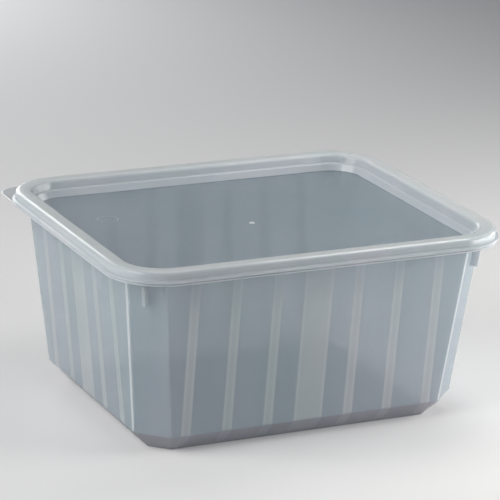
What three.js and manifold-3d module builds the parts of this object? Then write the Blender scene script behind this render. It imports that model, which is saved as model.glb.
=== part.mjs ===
// A shut, empty takeaway container: a tapered polypropylene tub with cut corners,
// and the press-on lid that snaps over its rim. Millimetres, +Z up, origin on the
// floor under the middle of the tub, long side along X, pull tab at the back left.
import * as THREE from 'three';
import { mergeVertices } from 'three/addons/utils/BufferGeometryUtils.js';
import Module from 'manifold-3d';

const wasm = await Module();
wasm.setup();

// The tub's outside, at the floor and at the top of the bevel round its base
const baseHalfX = 70.9;
const baseHalfY = 55.2;
const baseCut = 7.7;
const bevelHeight = 9.3;
const wallHalfX = 80;
const wallHalfY = 64.3;
const cornerCutLow = 12.9;
const cornerCutHigh = 13.4;
const wallSlope = 8 / 76;

// Thickness of the plastic
const wallThickness = 0.8;
const floorThickness = 0.9;

// The top of the tub, where its cut corners turn into round ones
const shoulderLow = 82.4;
const shoulderHigh = 85;
const rimHeight = 90.2;

// The lid, whose section is given by how far each point lies in from its edge
const lidOverhang = 8.2;
const lidFoot = 85.3;
const lidRadius = 26.5;
const crestHeight = 91.3;
const panelTop = 83.5;
const panelThickness = 0.8;

// Ribs inside the walls, fins outside the corners
const ribPitch = 20;
const ribWidth = 4.2;
const middleRibWidth = 13.6;
const ribRelief = 0.35;
const ribRoot = 0.4;
const ribTop = 82;
const finDepth = 3.5;
const finThickness = 1.3;
const finFoot = 73.4;
const finTop = 84;

// The pull tab and the two small marks on the lid
const tabRadius = 11;
const tabBottom = 86.4;
const tabThickness = 0.7;
const gateRadius = 1.5;
const gateHeight = 0.3;
const markRadius = 5;
const markWidth = 0.5;
const markHeight = 0.2;
const markPlace = [-61, 27];

const cornerSteps = 8;
const quarterTurn = Math.PI / 2;

// A rectangle with its corners cut straight or rounded, anticlockwise from above,
// always with the same number of points, so that any two can be joined by a skin
function outline(halfX, halfY, corner, round) {
  const points = [];
  const quarters = [[1, 1], [-1, 1], [-1, -1], [1, -1]];
  quarters.forEach(([signX, signY], quarter) => {
    for (let step = 0; step <= cornerSteps; step += 1) {
      const along = quarter % 2 === 0 ? step / cornerSteps : 1 - step / cornerSteps;
      const reachX = round ? Math.cos(along * quarterTurn) : 1 - along;
      const reachY = round ? Math.sin(along * quarterTurn) : along;
      const x = signX * (halfX - corner + corner * reachX);
      const y = signY * (halfY - corner + corner * reachY);
      points.push(new THREE.Vector2(x, y));
    }
  });
  return points;
}

// A closed body whose skin runs through a chain of outlines, from a flat cap that
// faces down, out and round the section, to a flat cap that faces up
function skin(rings) {
  const positions = [];
  const faces = [];
  const count = rings[0].points.length;
  rings.forEach(({ points, z }) => points.forEach((point) => positions.push(point.x, point.y, z)));
  for (let ring = 0; ring < rings.length - 1; ring += 1) {
    for (let step = 0; step < count; step += 1) {
      const next = (step + 1) % count;
      const low = ring * count;
      const high = low + count;
      faces.push(low + step, low + next, high + next);
      faces.push(low + step, high + next, high + step);
    }
  }
  const last = (rings.length - 1) * count;
  const lowMiddle = positions.length / 3;
  positions.push(0, 0, rings[0].z);
  positions.push(0, 0, rings[rings.length - 1].z);
  for (let step = 0; step < count; step += 1) {
    const next = (step + 1) % count;
    faces.push(lowMiddle, next, step);
    faces.push(lowMiddle + 1, last + step, last + next);
  }
  const geometry = new THREE.BufferGeometry();
  geometry.setAttribute('position', new THREE.Float32BufferAttribute(positions, 3));
  geometry.setIndex(faces);
  return geometry;
}

function solid(geometry) {
  const bare = geometry.clone();
  bare.deleteAttribute('normal');
  bare.deleteAttribute('uv');
  const merged = mergeVertices(bare);
  return new wasm.Manifold(new wasm.Mesh({
    numProp: 3,
    vertProperties: new Float32Array(merged.attributes.position.array),
    triVerts: new Uint32Array(merged.index.array),
  }));
}

function joined(geometries) {
  const [first, ...others] = geometries.map(solid);
  const whole = others.reduce((sum, other) => sum.add(other), first).getMesh();
  const geometry = new THREE.BufferGeometry();
  geometry.setAttribute('position', new THREE.Float32BufferAttribute(whole.vertProperties, 3));
  geometry.setIndex(new THREE.Uint32BufferAttribute(whole.triVerts, 1));
  geometry.computeVertexNormals();
  return geometry;
}

// An upright plate that stands out from the middle like a vane: its outline in
// distance and height, its thickness, the way it faces and how far it is set aside
function vane(points, thickness, angle, aside) {
  const shape = new THREE.Shape(points.map(([distance, z]) => new THREE.Vector2(distance, z)));
  const geometry = new THREE.ExtrudeGeometry(shape, { depth: thickness, bevelEnabled: false });
  geometry.rotateX(quarterTurn);
  geometry.translate(0, thickness / 2 + aside, 0);
  geometry.rotateZ(angle);
  return geometry;
}

function wallX(z) {
  return wallHalfX + (z - bevelHeight) * wallSlope;
}

function wallY(z) {
  return wallHalfY + (z - bevelHeight) * wallSlope;
}

// An outline with cut corners on the tub's wall, or inside it by a thickness
function wallRing(z, cut, inside) {
  const innerCut = cut - inside * (2 - Math.SQRT2);
  return { points: outline(wallX(z) - inside, wallY(z) - inside, innerCut, false), z };
}

// An outline with round corners, in from the lid's outer edge
function rimRing([inset, z]) {
  const halfX = wallX(lidFoot) + lidOverhang - inset;
  const halfY = wallY(lidFoot) + lidOverhang - inset;
  return { points: outline(halfX, halfY, lidRadius - inset, true), z };
}

// How far the tub's wall lies in from the lid's edge at a height
function wallInset(z, inside) {
  return lidOverhang - (z - lidFoot) * wallSlope + inside;
}

const bevelSlope = (wallHalfX - baseHalfX) / bevelHeight;
const bevelThickness = wallThickness * Math.hypot(1, bevelSlope);
const bevelInside = floorThickness * bevelSlope - bevelThickness;
const bevelInnerTop = bevelHeight + 0.35;

function tubSkin() {
  const rimEdge = 2.6;
  const rimInner = rimEdge + wallThickness;
  const brimEdge = 0.5;
  const brimTop = lidFoot + wallThickness;
  const rimUnder = rimHeight - wallThickness;
  const easing = 0.6;
  const floorCut = baseCut + bevelInside * (2 - Math.SQRT2);
  return skin([
    { points: outline(baseHalfX, baseHalfY, baseCut, false), z: 0 },
    wallRing(bevelHeight, cornerCutLow, 0),
    wallRing(shoulderLow, cornerCutHigh, 0),
    rimRing([wallInset(shoulderHigh, 0), shoulderHigh]),
    rimRing([wallInset(rimUnder, 0), rimUnder]),
    rimRing([rimInner, rimUnder]),
    rimRing([rimInner, lidFoot]),
    rimRing([brimEdge, lidFoot]),
    rimRing([brimEdge, brimTop]),
    rimRing([rimEdge, brimTop]),
    rimRing([rimEdge, rimHeight - easing]),
    rimRing([rimEdge + easing, rimHeight]),
    rimRing([wallInset(rimHeight, wallThickness) - easing, rimHeight]),
    rimRing([wallInset(rimHeight - easing, wallThickness), rimHeight - easing]),
    rimRing([wallInset(shoulderHigh, wallThickness), shoulderHigh]),
    wallRing(shoulderLow, cornerCutHigh, wallThickness),
    wallRing(bevelInnerTop, cornerCutLow, wallThickness),
    {
      points: outline(baseHalfX + bevelInside, baseHalfY + bevelInside, floorCut, false),
      z: floorThickness,
    },
  ]);
}

// One rib on a wall's inner face, from the floor up the bevel and the wall
function rib(wallHalf, baseHalf, width, angle, aside) {
  const innerFoot = baseHalf + bevelInside;
  const innerBend = wallHalf - wallThickness;
  const innerTop = wallHalf + (ribTop - bevelHeight) * wallSlope - wallThickness;
  const footZ = floorThickness - ribRoot;
  return vane([
    [innerFoot - ribRoot - ribRelief, footZ],
    [innerFoot, footZ],
    [innerBend + ribRoot, bevelInnerTop],
    [innerTop + ribRoot, ribTop],
    [innerTop - ribRelief, ribTop],
    [innerBend - ribRelief, bevelInnerTop],
  ], width, angle, aside);
}

function ribs() {
  const walls = [
    { wallHalf: wallHalfX, baseHalf: baseHalfX, angle: 0, pairs: 2 },
    { wallHalf: wallHalfY, baseHalf: baseHalfY, angle: quarterTurn, pairs: 3 },
    { wallHalf: wallHalfX, baseHalf: baseHalfX, angle: 2 * quarterTurn, pairs: 2 },
    { wallHalf: wallHalfY, baseHalf: baseHalfY, angle: 3 * quarterTurn, pairs: 3 },
  ];
  return walls.flatMap(({ wallHalf, baseHalf, angle, pairs }) => {
    const row = [rib(wallHalf, baseHalf, middleRibWidth, angle, 0)];
    for (let pair = 1; pair <= pairs; pair += 1) {
      row.push(rib(wallHalf, baseHalf, ribWidth, angle, pair * ribPitch));
      row.push(rib(wallHalf, baseHalf, ribWidth, angle, -pair * ribPitch));
    }
    return row;
  });
}

// The thin fin that stands out from the middle of each cut corner under the rim
function fins() {
  const facetDistance = (z) => (wallX(z) + wallY(z) - cornerCutHigh) / Math.SQRT2;
  const section = [
    [facetDistance(finFoot) - ribRoot, finFoot],
    [facetDistance(finFoot) + finDepth, finFoot],
    [facetDistance(finTop) + finDepth, finTop],
    [facetDistance(finTop) - ribRoot, finTop],
  ];
  const aside = (wallHalfX - wallHalfY) / Math.SQRT2;
  return [0, 1, 2, 3].map((quarter) => {
    const side = quarter % 2 === 0 ? -aside : aside;
    return vane(section, finThickness, (quarter + 0.5) * quarterTurn, side);
  });
}

function lidSkin() {
  const under = panelThickness;
  const skirtFoot = tabBottom;
  return skin([
    [12.3, panelTop - under],
    [10.7, 86.1],
    [9.5, 86.5],
    [8.9, 90],
    [8.35, crestHeight - under],
    [2.9, crestHeight - under],
    [2.3, 89.9],
    [2.3, 88.2],
    [1.6, skirtFoot],
    [0.2, skirtFoot],
    [0, 86.9],
    [0.3, 87.3],
    [1.3, 87.9],
    [1.4, 88.3],
    [1.3, 88.7],
    [1.6, 90.3],
    [2.1, 90.9],
    [3.2, crestHeight],
    [7.5, crestHeight],
    [8.7, 91.1],
    [9.4, 90.6],
    [9.7, 90],
    [10.3, 87.3],
    [11.3, 86.9],
    [12.9, panelTop],
  ].map(rimRing));
}

// The pull tab: the lip's round corner filled out to a tighter one
function tab() {
  const edgeX = -(wallX(lidFoot) + lidOverhang);
  const edgeY = wallY(lidFoot) + lidOverhang;
  const inner = lidRadius - 1.2;
  const shape = new THREE.Shape();
  shape.moveTo(edgeX + lidRadius, edgeY);
  shape.lineTo(edgeX + tabRadius, edgeY);
  shape.absarc(edgeX + tabRadius, edgeY - tabRadius, tabRadius, quarterTurn, 2 * quarterTurn, false);
  shape.lineTo(edgeX, edgeY - lidRadius);
  shape.absarc(edgeX + lidRadius, edgeY - lidRadius, inner, 2 * quarterTurn, quarterTurn, true);
  const options = { depth: tabThickness, bevelEnabled: false, curveSegments: cornerSteps };
  const geometry = new THREE.ExtrudeGeometry(shape, options);
  geometry.translate(0, 0, tabBottom);
  return geometry;
}

// The moulding gate's nub in the middle of the lid, and a plain round mark
function marks() {
  const sunk = 0.2;
  const nub = new THREE.CylinderGeometry(gateRadius, gateRadius, gateHeight + sunk, 16);
  nub.rotateX(quarterTurn);
  nub.translate(0, 0, panelTop + (gateHeight - sunk) / 2);
  const ring = new THREE.LatheGeometry([
    new THREE.Vector2(markRadius - markWidth, -sunk),
    new THREE.Vector2(markRadius, -sunk),
    new THREE.Vector2(markRadius, markHeight),
    new THREE.Vector2(markRadius - markWidth, markHeight),
    new THREE.Vector2(markRadius - markWidth, -sunk),
  ], 32);
  ring.rotateX(quarterTurn);
  ring.translate(markPlace[0], markPlace[1], panelTop);
  return [nub, ring];
}

function plastic(color, roughness) {
  return new THREE.MeshStandardMaterial({ color, roughness, metalness: 0 });
}

const tub = new THREE.Mesh(joined([tubSkin(), ...ribs(), ...fins()]), plastic(0xb9c3ca, 0.35));
tub.name = 'tub';

const lid = new THREE.Mesh(joined([lidSkin(), tab(), ...marks()]), plastic(0xc9d1d6, 0.3));
lid.name = 'lid';

const group = new THREE.Group();
group.add(tub, lid);

export default group;
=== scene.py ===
"""A shut, empty takeaway container of milky polypropylene: tub, press-on lid and a plain studio."""

import math

import bmesh
import bpy
from bpy.props import FloatProperty, FloatVectorProperty, PointerProperty, StringProperty
from mathutils import Color, Matrix, Vector


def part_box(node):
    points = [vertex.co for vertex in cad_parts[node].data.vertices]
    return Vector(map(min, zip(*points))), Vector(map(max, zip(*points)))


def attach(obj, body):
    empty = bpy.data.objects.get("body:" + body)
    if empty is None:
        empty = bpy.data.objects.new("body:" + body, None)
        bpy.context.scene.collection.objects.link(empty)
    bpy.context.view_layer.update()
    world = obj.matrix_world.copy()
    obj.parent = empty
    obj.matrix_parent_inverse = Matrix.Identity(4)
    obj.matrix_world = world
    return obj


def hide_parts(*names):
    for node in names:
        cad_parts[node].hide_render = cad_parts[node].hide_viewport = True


bl_info = {
    "name": "Takeaway Container",
    "version": (1, 0, 0),
    "blender": (4, 5, 0),
    "location": "3D View > Sidebar > Container",
    "description": "Builds a takeaway tub with its press-on lid, and a plain studio round it",
    "category": "Add Mesh",
}

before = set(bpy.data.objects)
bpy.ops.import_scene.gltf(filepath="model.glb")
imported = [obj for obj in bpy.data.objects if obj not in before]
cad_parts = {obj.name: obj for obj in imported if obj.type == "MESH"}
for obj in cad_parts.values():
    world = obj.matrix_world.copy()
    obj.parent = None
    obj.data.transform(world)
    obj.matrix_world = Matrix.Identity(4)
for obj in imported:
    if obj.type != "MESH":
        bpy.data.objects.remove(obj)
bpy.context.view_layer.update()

MM = 0.001
CORNER_STEPS = 16
SQRT2 = math.sqrt(2)
UP = Vector((0, 0, 1))
SHARP_BEND = math.radians(38)
LONG_WALL_PAIRS = 3
SHORT_WALL_PAIRS = 2
# The values that smooth noise mostly keeps between
NOISE_LOW, NOISE_HIGH = 0.36, 0.64
TUB_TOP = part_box("tub")[1].z
LID_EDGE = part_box("lid")[1]


def length(name, millimetres, description):
    """A size in millimetres, as a property in Blender's own metres."""
    return FloatProperty(name=name, default=millimetres * MM, description=description, unit="LENGTH")


def share(name, default, description):
    """A number from nothing to all."""
    return FloatProperty(
        name=name, default=default, min=0, max=1, description=description, subtype="FACTOR",
    )


def hue(name, default, description):
    """A colour, as an sRGB hex value."""
    return StringProperty(name=name, default=default, description=description)


def power(name, default, description):
    """A light's power in watts."""
    return FloatProperty(name=name, default=default, min=0, description=description, unit="POWER")


class TubSizes(bpy.types.PropertyGroup):
    """Sizes of the tub."""

    base_half_x: length("Base half length", 70.9, "Middle of the base to its short side")
    base_half_y: length("Base half width", 55.2, "Middle of the base to its long side")
    base_cut: length("Base corner", 7.7, "Length cut off each side at a corner of the base")
    bevel_height: length("Bevel height", 9.3, "Height of the bevel round the base")
    wall_half_x: length("Wall half length", 80, "Middle to the short wall over the bevel")
    wall_half_y: length("Wall half width", 64.3, "Middle to the long wall over the bevel")
    low_cut: length("Lower corner", 12.9, "Length cut off each side over the bevel")
    high_cut: length("Upper corner", 13.4, "Length cut off each side under the rim")
    wall: length("Wall thickness", 0.8, "Thickness of the walls and the rim")
    floor: length("Floor thickness", 0.9, "Thickness of the floor")
    shoulder_low: length("Shoulder foot", 82.4, "Where the cut corners start to turn round")
    shoulder_high: length("Shoulder top", 85, "Where the corners are round")
    rib_pitch: length("Rib spacing", 20, "Distance from rib to rib")
    rib_width: length("Rib width", 4.2, "Width of a narrow rib")
    middle_rib: length("Middle rib width", 13.6, "Width of the rib in the middle of a wall")
    rib_relief: length("Rib relief", 0.35, "How far a rib stands out inside")
    rib_slope: length("Rib slope", 0.7, "Width of a rib's sloping sides")
    rib_top: length("Rib top", 82, "Height of the ribs' upper ends")
    fin_depth: length("Fin depth", 3.5, "How far a corner's fin stands out")
    fin_thickness: length("Fin thickness", 1.3, "Thickness of a corner's fin")
    fin_foot: length("Fin foot", 73.4, "Height of a fin's lower end")
    fin_top: length("Fin top", 84, "Height of a fin's upper end")
    edge: length("Edge radius", 0.9, "Rounding of the corners and of the bevel")
    fine_edge: length("Fine edge radius", 0.2, "Rounding of the rim's edges")


class LidSizes(bpy.types.PropertyGroup):
    """Sizes of the lid."""

    foot: length("Rim foot", 85.3, "Height of the tub rim's lowest edge")
    radius: length("Corner radius", 26.5, "Radius of the lid's outer corners")
    panel: length("Panel height", 83.5, "Height of the sunk panel's upper face")
    tab_radius: length("Tab radius", 11, "Radius of the pull tab's corner")
    tab_foot: length("Tab height", 86.4, "Height of the pull tab's lower face")
    tab_plate: length("Tab thickness", 0.7, "Thickness of the pull tab")
    tab_root: length("Tab root", 0.6, "How far the pull tab reaches into the lip")
    tab_edge: length("Tab edge radius", 0.2, "Rounding of the pull tab's edges")
    gate_radius: length("Gate radius", 1.5, "Radius of the moulding gate's nub")
    gate_height: length("Gate height", 0.3, "Height of the moulding gate's nub")
    mark_radius: length("Mark radius", 5, "Radius of the small round mark")
    mark_width: length("Mark width", 0.5, "Width of the small round mark's line")
    mark_height: length("Mark height", 0.12, "Height of the small round mark's line")
    mark_x: length("Mark along", -61, "Place of the small round mark along the lid")
    mark_y: length("Mark across", 27, "Place of the small round mark across the lid")
    fine_edge: length("Fine edge radius", 0.22, "Rounding of the lid's edges")


class PlasticLook(bpy.types.PropertyGroup):
    """Colours and cloudiness of the polypropylene, with its painted highlights and the painted shade on the
    tub's bevel.
    """

    wall_colour: hue("Wall colour", "ADBAC3", "Plain walls of the tub")
    rib_colour: hue("Rib colour", "C2C9CC", "Ribs, where the plastic is thicker")
    # Painted shade: the bevel round the base is darker and more purple, for the shade it gets as it faces
    # down
    painted_bevel_shade_colour: hue("Bevel colour", "A7A9B2", "Bevel round the base")
    panel_colour: hue("Panel colour", "8FA0AC", "Sunk panel of the lid")
    slope_colour: hue("Slope colour", "C8CDD4", "Sides of the rims")
    crest_colour: hue("Crest colour", "DADEE2", "Top of the lid's rim, where layers lie over each other")
    tab_colour: hue("Tab colour", "9AA2A9", "Thin pull tab")
    # Painted highlight: the near-white that marked edges, fins, the gate's nub, the round mark and the
    # tab's edges are whitened towards, standing in for light caught in them
    painted_glint_colour: hue("Glint colour", "F2F4F6", "Edges and fins, which gather light")
    cool_tint: hue("Cool tint", "F0F5F4", "Tint where the plastic is thinnest")
    warm_tint: hue("Warm tint", "FEFAFC", "Tint where the plastic is thickest")
    wall_cloud: share("Wall cloudiness", 0.45, "How little of what is behind a wall shows")
    rib_cloud: share("Rib cloudiness", 0.62, "How little of what is behind a rib shows")
    panel_cloud: share("Panel cloudiness", 0.33, "How little of what is behind the panel shows")
    slope_cloud: share("Slope cloudiness", 0.8, "How little of what is behind the rims' sides shows")
    crest_cloud: share("Crest cloudiness", 0.92, "How little of what is behind the lid's crest shows")
    tab_cloud: share("Tab cloudiness", 0.55, "How little of what is behind the thin tab shows")
    drift: length("Drift size", 26, "Size of the drifts of tint")
    streak: share("Streak", 0.2, "Share of the drifts' height that is left, as the plastic flowed upwards")
    grain: length("Grain size", 2.4, "Size of the satin grain, coarser than the real one so that it shows")
    grain_depth: length("Grain depth", 0.0012, "Depth of the satin grain")
    roughness: share("Roughness", 0.32, "Roughness of the moulded surface")
    rim_roughness: share("Rim roughness", 0.16, "Roughness of the lid's polished rim")
    roughness_spread: share("Roughness spread", 0.03, "How far the grain takes the roughness up and down")
    scatter: length("Scatter", 1.5, "How far light spreads inside the plastic")
    # Painted highlights: how far each marked part is whitened towards the glint colour and made more opaque
    painted_bright_edge_glint: share("Bright edge", 0.55, "Light gathered in the brighter upright edge of a corner")
    painted_dim_edge_glint: share("Dim edge", 0.12, "Light gathered in the other upright edge of a corner")
    painted_fin_glint: share("Fin glint", 0.38, "Light gathered in the fins")
    painted_gate_glint: share("Gate glint", 0.7, "Light gathered in the moulding gate's nub")
    painted_mark_glint: share("Mark glint", 0.08, "Light gathered in the small round mark")
    painted_tab_glint: share("Tab glint", 1, "Light gathered in the pull tab's edges")


class StageLook(bpy.types.PropertyGroup):
    """The camera, the lights and the floor."""

    camera_place: FloatVectorProperty(
        name="Camera place", default=(-0.5513, -1.1536, 0.4703), subtype="XYZ", unit="LENGTH",
        description="Where the camera stands",
    )
    camera_turn: FloatProperty(
        name="Camera turn", default=math.radians(-25.52), unit="ROTATION",
        description="Angle round the container, from straight in front",
    )
    camera_height: FloatProperty(
        name="Camera height", default=math.radians(17.37), unit="ROTATION",
        description="Angle over the horizon that the camera looks down from",
    )
    camera_roll: FloatProperty(
        name="Camera roll", default=math.radians(1.746), unit="ROTATION",
        description="Tilt of the picture",
    )
    lens: FloatProperty(name="Lens", default=207.9, unit="CAMERA", description="Focal length in mm")
    floor_colour: hue("Floor colour", "E1E2E4", "The plain floor")
    sky_colour: hue("Fill colour", "D8E0EC", "The weak light from all round")
    sky: FloatProperty(name="Fill", default=0.1, min=0, description="Strength of the light from all round")
    side_colour: hue("Side lights' colour", "FFFCF7", "The soft lights from the sides")
    left_power: power("Left light", 9.8, "Soft light from the left, rather high")
    front_power: power("Front light", 1.2, "Weak soft light from the left and the front, high")
    back_power: power("Back light", 2.7, "Soft light from behind")
    right_power: power("Right light", 2.3, "Soft light from the right, low")
    corner_power: power("Corner light", 1.3, "Small soft light before the front right corner")
    top_power: power("Top light", 0.25, "Small soft light close over the right end")


def linear(hex_colour):
    """An sRGB hex value as the linear colour that shaders take."""
    values = [int(hex_colour[start:start + 2], 16) / 255 for start in (0, 2, 4)]
    bright = [v / 12.92 if v <= 0.04045 else ((v + 0.055) / 1.055) ** 2.4 for v in values]
    return (*bright, 1)


def node(tree, kind, settings, inputs):
    """Adds a shader node with its settings, and its inputs as values or links."""
    made = tree.nodes.new(kind)
    for name, value in settings.items():
        setattr(made, name, value)
    for name, value in inputs.items():
        if isinstance(value, bpy.types.NodeSocket):
            tree.links.new(value, made.inputs[name])
        else:
            made.inputs[name].default_value = value
    return made


def new_bmesh():
    """A new mesh whose faces can be marked for a painted highlight."""
    bm = bmesh.new()
    bm.faces.layers.float.new("painted_glint")
    return bm


def ring(bm, half_x, half_y, corner, height, rounded):
    """Adds a level rectangle of edges with its corners rounded or cut straight, and returns them."""
    place = Matrix.Translation((0, 0, height)) @ Matrix.Diagonal((half_x, half_y, 1, 1))
    made = bmesh.ops.create_grid(bm, x_segments=1, y_segments=1, size=1, matrix=place)
    arc, straight = 0.5, 0.25
    cut = bmesh.ops.bevel(
        bm, geom=made["verts"], offset=corner, offset_type="OFFSET", affect="VERTICES",
        segments=CORNER_STEPS, profile=arc if rounded else straight, material=-1, clamp_overlap=False,
    )
    plate = cut["verts"][0].link_faces[0]
    edges = list(plate.edges)
    bmesh.ops.delete(bm, geom=[plate], context="FACES_ONLY")
    return edges


def skin(bm, rings):
    """Joins a chain of rings by a skin and closes its two ends."""
    # Two rings at one height don't show bridge_loops which way round they run, so the second is lifted.
    lift = 10 * MM
    for first, second in zip(rings, rings[1:]):
        verts = list({vert for edge in second for vert in edge.verts})
        bmesh.ops.translate(bm, verts=verts, vec=UP * lift)
        bmesh.ops.bridge_loops(bm, edges=first + second)
        bmesh.ops.translate(bm, verts=verts, vec=-UP * lift)
    for end in (rings[0], rings[-1]):
        bmesh.ops.edgeloop_fill(bm, edges=end)
    bmesh.ops.recalc_face_normals(bm, faces=bm.faces)


def soften(bm, radius, steps, chosen):
    """Rounds the edges that bend and whose middle's height passes a test, and returns the new faces."""
    least_bend = math.radians(12)
    edges = []
    for edge in bm.edges:
        middle = (edge.verts[0].co + edge.verts[1].co) / 2
        if edge.is_manifold and edge.calc_face_angle(0) > least_bend and chosen(middle.z):
            edges.append(edge)
    rounded = bmesh.ops.bevel(
        bm, geom=edges, offset=radius, offset_type="OFFSET", affect="EDGES", segments=steps,
        profile=0.5, material=-1, clamp_overlap=True,
    )
    return rounded["faces"]


def painted_glint(bm, faces, amount):
    """Marks faces for a painted highlight, as an attribute that the materials read to whiten them."""
    layer = bm.faces.layers.float["painted_glint"]
    for face in faces:
        face[layer] = amount


def slice_faces(bm, chosen, places, direction):
    """Cuts the faces that pass a test along planes across a direction."""
    for place in places:
        faces = [face for face in bm.faces if chosen(face)]
        edges = list({edge for face in faces for edge in face.edges})
        verts = list({vert for face in faces for vert in face.verts})
        bmesh.ops.bisect_plane(
            bm, geom=faces + edges + verts, dist=1e-7, plane_co=direction * place, plane_no=direction,
        )


def finished(name, bm, material):
    """Makes the piece from its mesh, gives it a finish and sets it on the frame."""
    mesh = bpy.data.meshes.new(name)
    bm.to_mesh(mesh)
    bm.free()
    mesh.shade_smooth()
    mesh.set_sharp_from_angle(angle=SHARP_BEND)
    mesh.materials.append(material)
    piece = bpy.data.objects.new(name, mesh)
    bpy.context.scene.collection.objects.link(piece)
    even = piece.modifiers.new("Even shading", "WEIGHTED_NORMAL")
    even.keep_sharp = True
    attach(piece, "root")
    return piece


def wall_half(tub, height):
    """Half length and half width of the tub's wall at a height."""
    # The wall leans out by 8 mm over its 76 mm of height.
    slope = 8 / 76
    lean = (height - tub.bevel_height) * slope
    return tub.wall_half_x + lean, tub.wall_half_y + lean


def wall_ring(bm, tub, height, cut, inside):
    """A ring with cut corners on the tub's wall, or inside it."""
    half_x, half_y = wall_half(tub, height)
    return ring(bm, half_x - inside, half_y - inside, cut - inside * (2 - SQRT2), height, False)


def rim_ring(bm, lid, inset, height):
    """A ring with round corners, in from the lid's outer edge."""
    return ring(bm, LID_EDGE.x - inset, LID_EDGE.y - inset, lid.radius - inset, height, True)


def tub_rings(bm, tub, lid):
    """The rings of the tub's section, from under the base, out over the rim, to the floor."""
    def wall_inset(height, inside):
        return LID_EDGE.x - wall_half(tub, height)[0] + inside

    rim_edge = 2.6 * MM
    rim_inside = rim_edge + tub.wall
    brim_edge = 0.5 * MM
    brim_top = lid.foot + tub.wall
    rim_under = TUB_TOP - tub.wall
    easing = 0.6 * MM
    rim = [
        (wall_inset(tub.shoulder_high, 0), tub.shoulder_high),
        (wall_inset(rim_under, 0), rim_under),
        (rim_inside, rim_under),
        (rim_inside, lid.foot),
        (brim_edge, lid.foot),
        (brim_edge, brim_top),
        (rim_edge, brim_top),
        (rim_edge, TUB_TOP - easing),
        (rim_edge + easing, TUB_TOP),
        (wall_inset(TUB_TOP, tub.wall) - easing, TUB_TOP),
        (wall_inset(TUB_TOP - easing, tub.wall), TUB_TOP - easing),
        (wall_inset(tub.shoulder_high, tub.wall), tub.shoulder_high),
    ]
    bevel_run = (tub.wall_half_x - tub.base_half_x) / tub.bevel_height
    inner_bend = tub.bevel_height + tub.wall * (math.hypot(1, bevel_run) - 1) / bevel_run
    base_inside = tub.wall * math.hypot(1, bevel_run) - tub.floor * bevel_run
    return [
        ring(bm, tub.base_half_x, tub.base_half_y, tub.base_cut, 0, False),
        wall_ring(bm, tub, tub.bevel_height, tub.low_cut, 0),
        wall_ring(bm, tub, tub.shoulder_low, tub.high_cut, 0),
        *[rim_ring(bm, lid, inset, height) for inset, height in rim],
        wall_ring(bm, tub, tub.shoulder_low, tub.high_cut, tub.wall),
        wall_ring(bm, tub, inner_bend, tub.low_cut, tub.wall),
        ring(
            bm, tub.base_half_x - base_inside, tub.base_half_y - base_inside,
            tub.base_cut - base_inside * (2 - SQRT2), tub.floor, False,
        ),
    ]


def paint_glint_on_upright_edges(bm, tub, look, faces):
    """Paints a highlight on the upright ones of the rounded edges, brighter on one than the other at each
    corner, as the light falls.
    """
    for face in faces:
        heights = [vert.co.z for vert in face.verts]
        if max(heights) - min(heights) > tub.shoulder_low / 2:
            turn = math.degrees(math.atan2(face.normal.y, face.normal.x)) % 90
            painted_glint(bm, [face], look.painted_bright_edge_glint if turn < 45 else look.painted_dim_edge_glint)


def raise_ribs(bm, tub):
    """Raises the ribs inside the four walls."""
    x_axis, y_axis = Vector((1, 0, 0)), Vector((0, 1, 0))
    for along, across, pairs in (
        (x_axis, y_axis, LONG_WALL_PAIRS),
        (y_axis, x_axis, SHORT_WALL_PAIRS),
    ):
        ribs = [(0, tub.middle_rib)]
        for pair in range(1, pairs + 1):
            ribs += [(pair * tub.rib_pitch, tub.rib_width), (-pair * tub.rib_pitch, tub.rib_width)]

        def inner_wall(face):
            middle = face.calc_center_median()
            faces_in = face.normal.dot(across) * middle.dot(across) < 0
            square_on = abs(face.normal.dot(across)) > 0.6 and abs(face.normal.dot(along)) < 0.2
            return faces_in and square_on and tub.floor < middle.z < tub.shoulder_low

        sides = [middle + side * width / 2 for middle, width in ribs for side in (-1, 1)]
        slice_faces(bm, inner_wall, sides, along)
        slice_faces(bm, inner_wall, [tub.rib_top], UP)
        walls = [face for face in bm.faces if inner_wall(face)]
        for middle, width in ribs:
            for side in (-1, 1):
                strip = []
                for face in walls:
                    centre = face.calc_center_median()
                    beside = abs(centre.dot(along) - middle)
                    if beside < width / 2 and centre.dot(across) * side > 0 and centre.z < tub.rib_top:
                        strip.append(face)
                bmesh.ops.inset_region(
                    bm, faces=strip, thickness=tub.rib_slope, depth=tub.rib_relief, use_even_offset=True,
                )


def raise_fins(bm, tub, look):
    """Pulls a thin fin out of the middle of each cut corner, under the rim."""
    aside = (tub.wall_half_x - tub.wall_half_y) / SQRT2
    for quarter in range(4):
        outward = Matrix.Rotation(math.radians(45 + 90 * quarter), 3, "Z") @ Vector((1, 0, 0))
        along = UP.cross(outward)
        middle = aside if quarter % 2 else -aside

        def facet(face):
            centre = face.calc_center_median()
            high = tub.bevel_height < centre.z < tub.shoulder_high
            return high and face.normal.dot(outward) > 0.95 and centre.dot(outward) > 0

        slice_faces(bm, facet, [middle - tub.fin_thickness / 2, middle + tub.fin_thickness / 2], along)
        slice_faces(bm, facet, [tub.fin_foot, tub.fin_top], UP)
        strip = []
        for face in bm.faces:
            centre = face.calc_center_median()
            beside = abs(centre.dot(along) - middle)
            if facet(face) and tub.fin_foot < centre.z < tub.fin_top and beside < tub.fin_thickness / 2:
                strip.append(face)
        pulled = bmesh.ops.extrude_face_region(bm, geom=strip)
        moved = [item for item in pulled["geom"] if isinstance(item, bmesh.types.BMVert)]
        bmesh.ops.translate(bm, verts=moved, vec=outward * tub.fin_depth)
        # Painted highlight: the fin is whitened as if it caught the light
        painted_glint(bm, {face for vert in moved for face in vert.link_faces}, look.painted_fin_glint)
        bmesh.ops.delete(bm, geom=strip, context="FACES")


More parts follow.
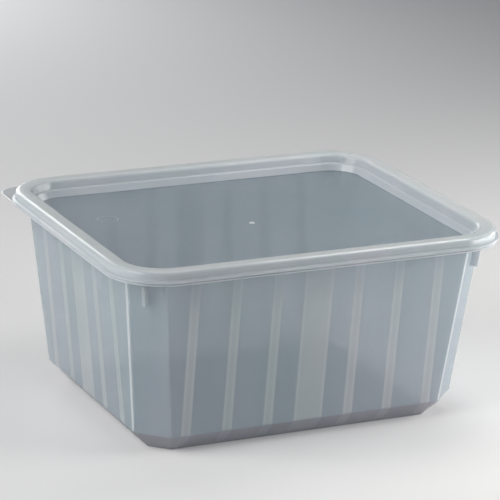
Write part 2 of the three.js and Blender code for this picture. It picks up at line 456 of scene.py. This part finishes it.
class OBJECT_OT_container_tub(bpy.types.Operator):
    """Builds the tub with its ribs, fins and rim"""

    bl_idname = "object.container_tub"
    bl_label = "Tub"

    def execute(self, context):
        tub = context.scene.container_tub
        look = context.scene.container_plastic
        bm = new_bmesh()
        skin(bm, tub_rings(bm, tub, context.scene.container_lid))
        bends = soften(bm, tub.edge, 3, lambda height: height < tub.shoulder_low - MM)
        soften(bm, tub.fine_edge, 2, lambda height: height > tub.shoulder_high + MM / 5)
        # Painted highlight on the corners' upright edges
        paint_glint_on_upright_edges(bm, tub, look, bends)
        raise_ribs(bm, tub)
        raise_fins(bm, tub, look)
        piece = finished("polypropylene_tub", bm, tub_polypropylene(look, tub))
        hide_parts("tub")
        return {"FINISHED"}


# The lid's section, as how far in from its outer edge and how high, in mm: from the panel's underside, out
# under the rim to the lip, and back over the crest to the panel's upper face
LID_SECTION = [
    (12.3, 82.7), (10.7, 86.1), (9.5, 86.5), (8.9, 90), (8.35, 90.5), (2.9, 90.5), (2.3, 89.9),
    (2.3, 88.2), (1.6, 86.4), (0.2, 86.4), (0, 86.9), (0.3, 87.3), (1.3, 87.9), (1.4, 88.3),
    (1.3, 88.7), (1.6, 90.3), (2.1, 90.9), (3.2, 91.3), (7.5, 91.3), (8.7, 91.1), (9.4, 90.6),
    (9.7, 90), (10.3, 87.3), (11.3, 86.9), (12.9, 83.5),
]


class OBJECT_OT_container_lid(bpy.types.Operator):
    """Builds the lid with its rim and sunk panel"""

    bl_idname = "object.container_lid"
    bl_label = "Lid"

    def execute(self, context):
        lid = context.scene.container_lid
        bm = new_bmesh()
        skin(bm, [rim_ring(bm, lid, inset * MM, height * MM) for inset, height in LID_SECTION])
        soften(bm, lid.fine_edge, 2, lambda height: True)
        material = lid_polypropylene(context.scene.container_plastic, lid)
        piece = finished("polypropylene_lid", bm, material)
        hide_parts("lid")
        return {"FINISHED"}


class OBJECT_OT_container_marks(bpy.types.Operator):
    """Builds the plain round mark and the moulding gate's nub on the lid's panel"""

    bl_idname = "object.container_marks"
    bl_label = "Panel marks"

    def execute(self, context):
        lid = context.scene.container_lid
        look = context.scene.container_plastic
        bm = new_bmesh()
        sunk = 0.1 * MM
        height = lid.mark_height + sunk
        line_middle = lid.mark_radius - lid.mark_width / 2
        middle = Vector((lid.mark_x, lid.mark_y, lid.panel - sunk + height / 2))
        start = Matrix.Translation(middle + Vector((line_middle, 0, 0)))
        upright = Matrix.Rotation(math.radians(90), 4, "X")
        section = start @ (upright @ Matrix.Diagonal((lid.mark_width, height, 1, 1)))
        bmesh.ops.create_grid(bm, x_segments=1, y_segments=1, size=0.5, matrix=section)
        bmesh.ops.delete(bm, geom=bm.faces[:], context="FACES_ONLY")
        bmesh.ops.spin(
            bm, geom=bm.edges[:] + bm.verts[:], cent=middle, axis=UP,
            angle=2 * math.pi, steps=48, use_merge=True,
        )
        # Painted highlight: the round mark is whitened a little
        painted_glint(bm, bm.faces, look.painted_mark_glint)
        taper = 0.8
        nub = bmesh.ops.create_cone(
            bm, cap_ends=True, segments=24, radius1=lid.gate_radius, radius2=lid.gate_radius * taper,
            depth=lid.gate_height + sunk,
            matrix=Matrix.Translation((0, 0, lid.panel + (lid.gate_height - sunk) / 2)),
        )
        # Painted highlight: the gate's nub is whitened like a bright spot
        painted_glint(bm, {face for vert in nub["verts"] for face in vert.link_faces}, look.painted_gate_glint)
        bmesh.ops.recalc_face_normals(bm, faces=bm.faces)
        finished("panel_marks", bm, thin_polypropylene(look))
        return {"FINISHED"}


class OBJECT_OT_container_tab(bpy.types.Operator):
    """Builds the pull tab, the lip's corner filled out to a tighter one"""

    bl_idname = "object.container_tab"
    bl_label = "Pull tab"

    def execute(self, context):
        lid = context.scene.container_lid
        look = context.scene.container_plastic
        bm = new_bmesh()
        half = lid.radius / 2
        # A little tighter than the lip's corner, which leaves the chain a short straight at each end.
        root_radius = lid.radius * 0.98
        chains = []
        for radius, inward in ((lid.tab_radius, 0), (root_radius, lid.tab_root)):
            middle = (half - LID_EDGE.x + inward, LID_EDGE.y - half - inward, lid.tab_foot)
            place = Matrix.Translation(middle)
            made = bmesh.ops.create_grid(bm, x_segments=1, y_segments=1, size=half, matrix=place)
            corner = max(made["verts"], key=lambda vert: vert.co.y - vert.co.x)
            opposite = min(made["verts"], key=lambda vert: vert.co.y - vert.co.x)
            bmesh.ops.bevel(
                bm, geom=[corner], offset=radius, offset_type="OFFSET", affect="VERTICES",
                segments=CORNER_STEPS, profile=0.5, material=-1, clamp_overlap=False,
            )
            plate = opposite.link_faces[0]
            chains.append([edge for edge in plate.edges if opposite not in edge.verts])
            bmesh.ops.delete(bm, geom=[opposite], context="VERTS")
        bmesh.ops.bridge_loops(bm, edges=chains[0] + chains[1])
        raised = bmesh.ops.extrude_face_region(bm, geom=bm.faces[:])
        moved = [item for item in raised["geom"] if isinstance(item, bmesh.types.BMVert)]
        bmesh.ops.translate(bm, verts=moved, vec=UP * lid.tab_plate)
        bmesh.ops.recalc_face_normals(bm, faces=bm.faces)
        # Painted highlight: the tab's rounded edges are whitened fully
        painted_glint(bm, soften(bm, lid.tab_edge, 2, lambda height: True), look.painted_tab_glint)
        finished("pull_tab", bm, thin_polypropylene(look))
        return {"FINISHED"}


def plain_polypropylene(name, look, streak):
    """The shader all the polypropylene shares: a satin skin, and some light spread inside it."""
    material = bpy.data.materials.new(name)
    material.use_nodes = True
    tree = material.node_tree
    shader = tree.nodes["Principled BSDF"]
    shader.inputs["IOR"].default_value = 1.49
    shader.inputs["Subsurface Weight"].default_value = 1
    shader.inputs["Subsurface Radius"].default_value = (1, 1, 1)
    shader.inputs["Subsurface Scale"].default_value = look.scatter
    coordinates = node(tree, "ShaderNodeTexCoord", {}, {}).outputs["Object"]
    flow = node(tree, "ShaderNodeMapping", {}, {"Vector": coordinates, "Scale": (1, 1, streak)})
    drift = node(tree, "ShaderNodeTexNoise", {}, {
        "Vector": flow.outputs["Vector"], "Scale": 1 / look.drift, "Detail": 3, "Roughness": 0.45,
    })
    grain = node(tree, "ShaderNodeTexNoise", {}, {
        "Vector": coordinates, "Scale": 1 / look.grain, "Detail": 1,
    })
    rough = node(tree, "ShaderNodeMapRange", {}, {
        "Value": grain.outputs["Fac"], "From Min": 0.3, "From Max": 0.7,
        "To Min": look.roughness - look.roughness_spread, "To Max": look.roughness + look.roughness_spread,
    })
    bump = node(tree, "ShaderNodeBump", {}, {
        "Height": grain.outputs["Fac"], "Distance": look.grain_depth, "Strength": 1,
    })
    tree.links.new(rough.outputs["Result"], shader.inputs["Roughness"])
    tree.links.new(bump.outputs["Normal"], shader.inputs["Normal"])
    return material, tree, shader, coordinates, drift.outputs["Fac"]


def tint_and_paint_glints(tree, shader, look, warmth, colour, cloud):
    """Tints a colour from cool to warm, paints highlights by whitening the marked parts and making them
    more opaque, and feeds the shader.
    """
    tint = node(tree, "ShaderNodeMix", {"data_type": "RGBA"}, {
        0: warmth, 6: linear(look.cool_tint), 7: linear(look.warm_tint),
    })
    tinted = node(tree, "ShaderNodeMix", {"data_type": "RGBA", "blend_type": "MULTIPLY"}, {
        0: 1, 6: colour, 7: tint.outputs[2],
    })
    # Painted highlight: the marked share whitens the colour and makes the plastic more opaque
    painted_glint_share = node(tree, "ShaderNodeAttribute", {"attribute_name": "painted_glint"}, {}).outputs["Fac"]
    glint_painted_hue = node(tree, "ShaderNodeMix", {"data_type": "RGBA"}, {
        0: painted_glint_share, 6: tinted.outputs[2], 7: linear(look.painted_glint_colour),
    })
    dense = node(tree, "ShaderNodeMath", {"operation": "MAXIMUM"}, {0: painted_glint_share, 1: cloud})
    tree.links.new(glint_painted_hue.outputs[2], shader.inputs["Base Color"])
    tree.links.new(dense.outputs[0], shader.inputs["Alpha"])


def profile(tree, value, stops):
    """A level that follows a value along straight lines, through stops of a value and its level."""
    ramp = node(tree, "ShaderNodeValToRGB", {}, {"Fac": value})
    ends = ramp.color_ramp.elements
    ends[0].position, ends[1].position = stops[0][0], stops[-1][0]
    ends[0].color = (*[stops[0][1]] * 3, 1)
    ends[1].color = (*[stops[-1][1]] * 3, 1)
    for position, level in stops[1:-1]:
        ends.new(position).color = (level, level, level, 1)
    return ramp.outputs["Color"]


def rib_levels(tree, tub, x, y, height):
    """How much rib there is at a place on the tub's walls, from 0 to 1."""
    far_x = node(tree, "ShaderNodeMath", {"operation": "ABSOLUTE"}, {0: x}).outputs[0]
    far_y = node(tree, "ShaderNodeMath", {"operation": "ABSOLUTE"}, {0: y}).outputs[0]
    lead = node(tree, "ShaderNodeMath", {"operation": "SUBTRACT"}, {0: far_y, 1: far_x})
    long_wall = node(tree, "ShaderNodeMath", {"operation": "GREATER_THAN"}, {
        0: lead.outputs[0], 1: tub.wall_half_y - tub.wall_half_x,
    }).outputs[0]
    along = node(tree, "ShaderNodeMix", {"data_type": "FLOAT"}, {0: long_wall, 2: y, 3: x}).outputs[0]
    half_pitch = tub.rib_pitch / 2
    to_rib = node(tree, "ShaderNodeMath", {"operation": "PINGPONG"}, {0: along, 1: half_pitch})
    to_middle = node(tree, "ShaderNodeMath", {"operation": "ABSOLUTE"}, {0: along})
    reach = node(tree, "ShaderNodeMix", {"data_type": "FLOAT"}, {
        0: long_wall,
        2: (SHORT_WALL_PAIRS + 0.5) * tub.rib_pitch,
        3: (LONG_WALL_PAIRS + 0.5) * tub.rib_pitch,
    })
    in_reach = node(tree, "ShaderNodeMath", {"operation": "LESS_THAN"}, {
        0: to_middle.outputs[0], 1: reach.outputs[0],
    })
    levels = []
    for distance, width in ((to_rib, tub.rib_width), (to_middle, tub.middle_rib)):
        share_of_pitch = node(tree, "ShaderNodeMath", {"operation": "DIVIDE"}, {
            0: distance.outputs[0], 1: half_pitch,
        })
        side = width / 2 / half_pitch
        # A rib is whitest just inside its two sides.
        levels.append(profile(tree, share_of_pitch.outputs[0], (
            (side - 0.13, 0.7), (side - 0.04, 1), (side, 0.75), (side + 0.05, 0),
        )))
    off_middle = node(tree, "ShaderNodeMath", {"operation": "GREATER_THAN"}, {
        0: to_middle.outputs[0], 1: half_pitch,
    })
    narrow = node(tree, "ShaderNodeMath", {"operation": "MULTIPLY"}, {
        0: levels[0], 1: off_middle.outputs[0],
    })
    band = node(tree, "ShaderNodeMath", {"operation": "MAXIMUM"}, {0: narrow.outputs[0], 1: levels[1]})
    rise = node(tree, "ShaderNodeMath", {"operation": "DIVIDE"}, {0: height, 1: tub.shoulder_low})
    # The ribs are faint on the bevel, plain on the wall and faint again under the rim.
    faint = 0.3
    bevel_top = tub.bevel_height / tub.shoulder_low
    upright = profile(tree, rise.outputs[0], (
        (0.02, 0), (0.03, faint), (bevel_top, faint), (bevel_top + 0.01, 1), (0.8, 1), (1, faint),
    ))
    whole = node(tree, "ShaderNodeMath", {"operation": "MULTIPLY"}, {
        0: band.outputs[0], 1: in_reach.outputs[0],
    })
    level = node(tree, "ShaderNodeMath", {"operation": "MULTIPLY"}, {0: whole.outputs[0], 1: upright})
    return level.outputs[0]


def tub_polypropylene(look, tub):
    """Polypropylene, injection moulded: milky and satin, paler where ribs make it thicker, with painted
    shade on the bevel round the base and painted highlights on its edges and fins.
    """
    material, tree, shader, coordinates, drift = plain_polypropylene("tub_polypropylene", look, look.streak)
    x, y, height = node(tree, "ShaderNodeSeparateXYZ", {}, {"Vector": coordinates}).outputs
    rib = rib_levels(tree, tub, x, y, height)
    # Painted shade: the bevel round the base takes its darker colour below this height
    fade = 0.2 * MM
    bevel = node(tree, "ShaderNodeMapRange", {"interpolation_type": "SMOOTHSTEP"}, {
        "Value": height, "From Min": tub.bevel_height + fade, "From Max": tub.bevel_height - fade,
    })
    rim = node(tree, "ShaderNodeMapRange", {"interpolation_type": "SMOOTHSTEP"}, {
        "Value": height, "From Min": tub.shoulder_low, "From Max": tub.shoulder_high,
    }).outputs["Result"]
    wall_hue_with_bevel_shade = node(tree, "ShaderNodeMix", {"data_type": "RGBA"}, {
        0: bevel.outputs["Result"], 6: linear(look.wall_colour), 7: linear(look.painted_bevel_shade_colour),
    })
    ribbed_hue = node(tree, "ShaderNodeMix", {"data_type": "RGBA"}, {
        0: rib, 6: wall_hue_with_bevel_shade.outputs[2], 7: linear(look.rib_colour),
    })
    rimmed_hue = node(tree, "ShaderNodeMix", {"data_type": "RGBA"}, {
        0: rim, 6: ribbed_hue.outputs[2], 7: linear(look.slope_colour),
    })
    # The tint is warmer low down than under the rim.
    warmer = 0.25
    lowness = node(tree, "ShaderNodeMapRange", {}, {
        "Value": height, "From Min": tub.shoulder_low, "From Max": 0, "To Min": -warmer, "To Max": warmer,
    })
    patches = node(tree, "ShaderNodeMapRange", {}, {
        "Value": drift, "From Min": NOISE_LOW, "From Max": NOISE_HIGH,
    })
    warmth = node(tree, "ShaderNodeMath", {"operation": "ADD", "use_clamp": True}, {
        0: patches.outputs["Result"], 1: lowness.outputs["Result"],
    })
    cloud = node(tree, "ShaderNodeMapRange", {}, {
        "Value": rib, "To Min": look.wall_cloud, "To Max": look.rib_cloud,
    })
    rim_cloud = node(tree, "ShaderNodeMix", {"data_type": "FLOAT"}, {
        0: rim, 2: cloud.outputs["Result"], 3: look.slope_cloud,
    })
    tint_and_paint_glints(tree, shader, look, warmth.outputs[0], rimmed_hue.outputs[2], rim_cloud.outputs[0])
    return material


def lid_polypropylene(look, lid):
    """Polypropylene, injection moulded: milky, with a polished rim, whitest on its layered crest."""
    material, tree, shader, coordinates, drift = plain_polypropylene("lid_polypropylene", look, 1)
    height = node(tree, "ShaderNodeSeparateXYZ", {}, {"Vector": coordinates}).outputs["Z"]
    slope_foot, slope_start = lid.panel + 0.05 * MM, lid.panel + 0.5 * MM
    slope = node(tree, "ShaderNodeMapRange", {"interpolation_type": "SMOOTHSTEP"}, {
        "Value": height, "From Min": slope_foot, "From Max": slope_start,
    }).outputs["Result"]
    crest_foot, crest_start = LID_EDGE.z - 0.6 * MM, LID_EDGE.z - 0.1 * MM
    crest = node(tree, "ShaderNodeMapRange", {"interpolation_type": "SMOOTHSTEP"}, {
        "Value": height, "From Min": crest_foot, "From Max": crest_start,
    }).outputs["Result"]
    low_hue = node(tree, "ShaderNodeMix", {"data_type": "RGBA"}, {
        0: slope, 6: linear(look.panel_colour), 7: linear(look.slope_colour),
    })
    whole_hue = node(tree, "ShaderNodeMix", {"data_type": "RGBA"}, {
        0: crest, 6: low_hue.outputs[2], 7: linear(look.crest_colour),
    })
    low_cloud = node(tree, "ShaderNodeMix", {"data_type": "FLOAT"}, {
        0: slope, 2: look.panel_cloud, 3: look.slope_cloud,
    })
    whole_cloud = node(tree, "ShaderNodeMix", {"data_type": "FLOAT"}, {
        0: crest, 2: low_cloud.outputs[0], 3: look.crest_cloud,
    })
    satin = shader.inputs["Roughness"].links[0].from_socket
    polished = node(tree, "ShaderNodeMix", {"data_type": "FLOAT"}, {
        0: slope, 2: satin, 3: look.rim_roughness,
    })
    tree.links.new(polished.outputs[0], shader.inputs["Roughness"])
    warmest = 0.4
    warmth = node(tree, "ShaderNodeMapRange", {}, {
        "Value": drift, "From Min": NOISE_LOW, "From Max": NOISE_HIGH, "To Max": warmest,
    })
    tint_and_paint_glints(
        tree, shader, look, warmth.outputs["Result"], whole_hue.outputs[2], whole_cloud.outputs[0],
    )
    return material


def thin_polypropylene(look):
    """Polypropylene, injection moulded: one thin layer, grey and clear but for the highlights painted on
    its edges.
    """
    material, tree, shader, _, drift = plain_polypropylene("thin_polypropylene", look, 1)
    uneven = 0.08
    cloud = node(tree, "ShaderNodeMapRange", {}, {
        "Value": drift, "To Min": look.tab_cloud - uneven, "To Max": look.tab_cloud + uneven,
    })
    tint_and_paint_glints(tree, shader, look, drift, linear(look.tab_colour), cloud.outputs["Result"])
    return material


class OBJECT_OT_container_stage(bpy.types.Operator):
    """Sets the camera, the soft lights and the plain floor"""

    bl_idname = "object.container_stage"
    bl_label = "Stage"

    def execute(self, context):
        scene = context.scene
        look = scene.container_stage
        camera = bpy.data.objects.new("Camera", bpy.data.cameras.new("Camera"))
        camera.data.lens = look.lens
        camera.data.sensor_width = 36
        camera.data.clip_start = 0.01
        turn, height = look.camera_turn, look.camera_height
        back = Vector((
            math.sin(turn) * math.cos(height), -math.cos(turn) * math.cos(height), math.sin(height),
        ))
        right = Vector((math.cos(turn), math.sin(turn), 0))
        level = Matrix((right, back.cross(right), back)).transposed().to_4x4()
        roll = Matrix.Rotation(look.camera_roll, 4, "Z")
        camera.matrix_world = Matrix.Translation(look.camera_place) @ level @ roll
        scene.collection.objects.link(camera)
        scene.camera = camera

        floor_mesh = bpy.data.meshes.new("Floor")
        floor_reach = 6
        bm = bmesh.new()
        bmesh.ops.create_grid(bm, x_segments=1, y_segments=1, size=floor_reach)
        bm.to_mesh(floor_mesh)
        bm.free()
        paper = bpy.data.materials.new("floor_paper")
        paper.use_nodes = True
        shader = paper.node_tree.nodes["Principled BSDF"]
        shader.inputs["Base Color"].default_value = linear(look.floor_colour)
        shader.inputs["Roughness"].default_value = 0.9
        floor_mesh.materials.append(paper)
        floor = bpy.data.objects.new("Floor", floor_mesh)
        scene.collection.objects.link(floor)

        warm = Color(linear(look.side_colour)[:3])
        white = Color((1, 1, 1))
        aimed_at = Vector((0, 0, 0.05))
        for name, place, size, watts, colour in (
            ("Left softbox", (-0.9, -0.05, 0.55), 0.8, look.left_power, warm),
            ("Back softbox", (0, 1, 0.35), 0.5, look.back_power, white),
            ("Front softbox", (-0.62, -0.4, 0.62), 0.4, look.front_power, white),
            ("Right softbox", (0.6, 0, 0.12), 0.4, look.right_power, warm),
            ("Corner softbox", (0.36, -0.26, 0.15), 0.22, look.corner_power, warm),
            ("Top softbox", (0.14, 0, 0.3), 0.12, look.top_power, warm),
        ):
            light = bpy.data.objects.new(name, bpy.data.lights.new(name, "AREA"))
            light.data.size = size
            light.data.energy = watts
            light.data.color = colour
            light.location = place
            light.rotation_euler = (aimed_at - light.location).to_track_quat("-Z", "Y").to_euler()
            scene.collection.objects.link(light)
        scene.view_settings.view_transform = "Standard"
        scene.world = bpy.data.worlds.new("Studio")
        scene.world.use_nodes = True
        sky = scene.world.node_tree.nodes["Background"]
        sky.inputs["Color"].default_value = linear(look.sky_colour)
        sky.inputs["Strength"].default_value = look.sky
        return {"FINISHED"}


class VIEW3D_PT_container(bpy.types.Panel):
    """Lists what the add-on builds"""

    bl_idname = "VIEW3D_PT_container"
    bl_label = "Takeaway container"
    bl_space_type = "VIEW_3D"
    bl_region_type = "UI"
    bl_category = "Container"

    def draw(self, context):
        for operator in OPERATORS:
            self.layout.operator(operator.bl_idname)


OPERATORS = (
    OBJECT_OT_container_tub,
    OBJECT_OT_container_lid,
    OBJECT_OT_container_marks,
    OBJECT_OT_container_tab,
    OBJECT_OT_container_stage,
)
GROUPS = {
    "container_tub": TubSizes,
    "container_lid": LidSizes,
    "container_plastic": PlasticLook,
    "container_stage": StageLook,
}


def register():
    """Registers the classes, and keeps their values on the scene."""
    for kind in (*GROUPS.values(), *OPERATORS, VIEW3D_PT_container):
        bpy.utils.register_class(kind)
    for name, kind in GROUPS.items():
        setattr(bpy.types.Scene, name, PointerProperty(type=kind))


def unregister():
    """Takes away what register adds."""
    for name in GROUPS:
        delattr(bpy.types.Scene, name)
    for kind in (VIEW3D_PT_container, *reversed(OPERATORS), *reversed(GROUPS.values())):
        bpy.utils.unregister_class(kind)


def main():
    """Builds the container and its studio."""
    register()
    bpy.ops.object.container_tub()
    bpy.ops.object.container_lid()
    bpy.ops.object.container_marks()
    bpy.ops.object.container_tab()
    bpy.ops.object.container_stage()


if __name__ == "__main__":
    main()
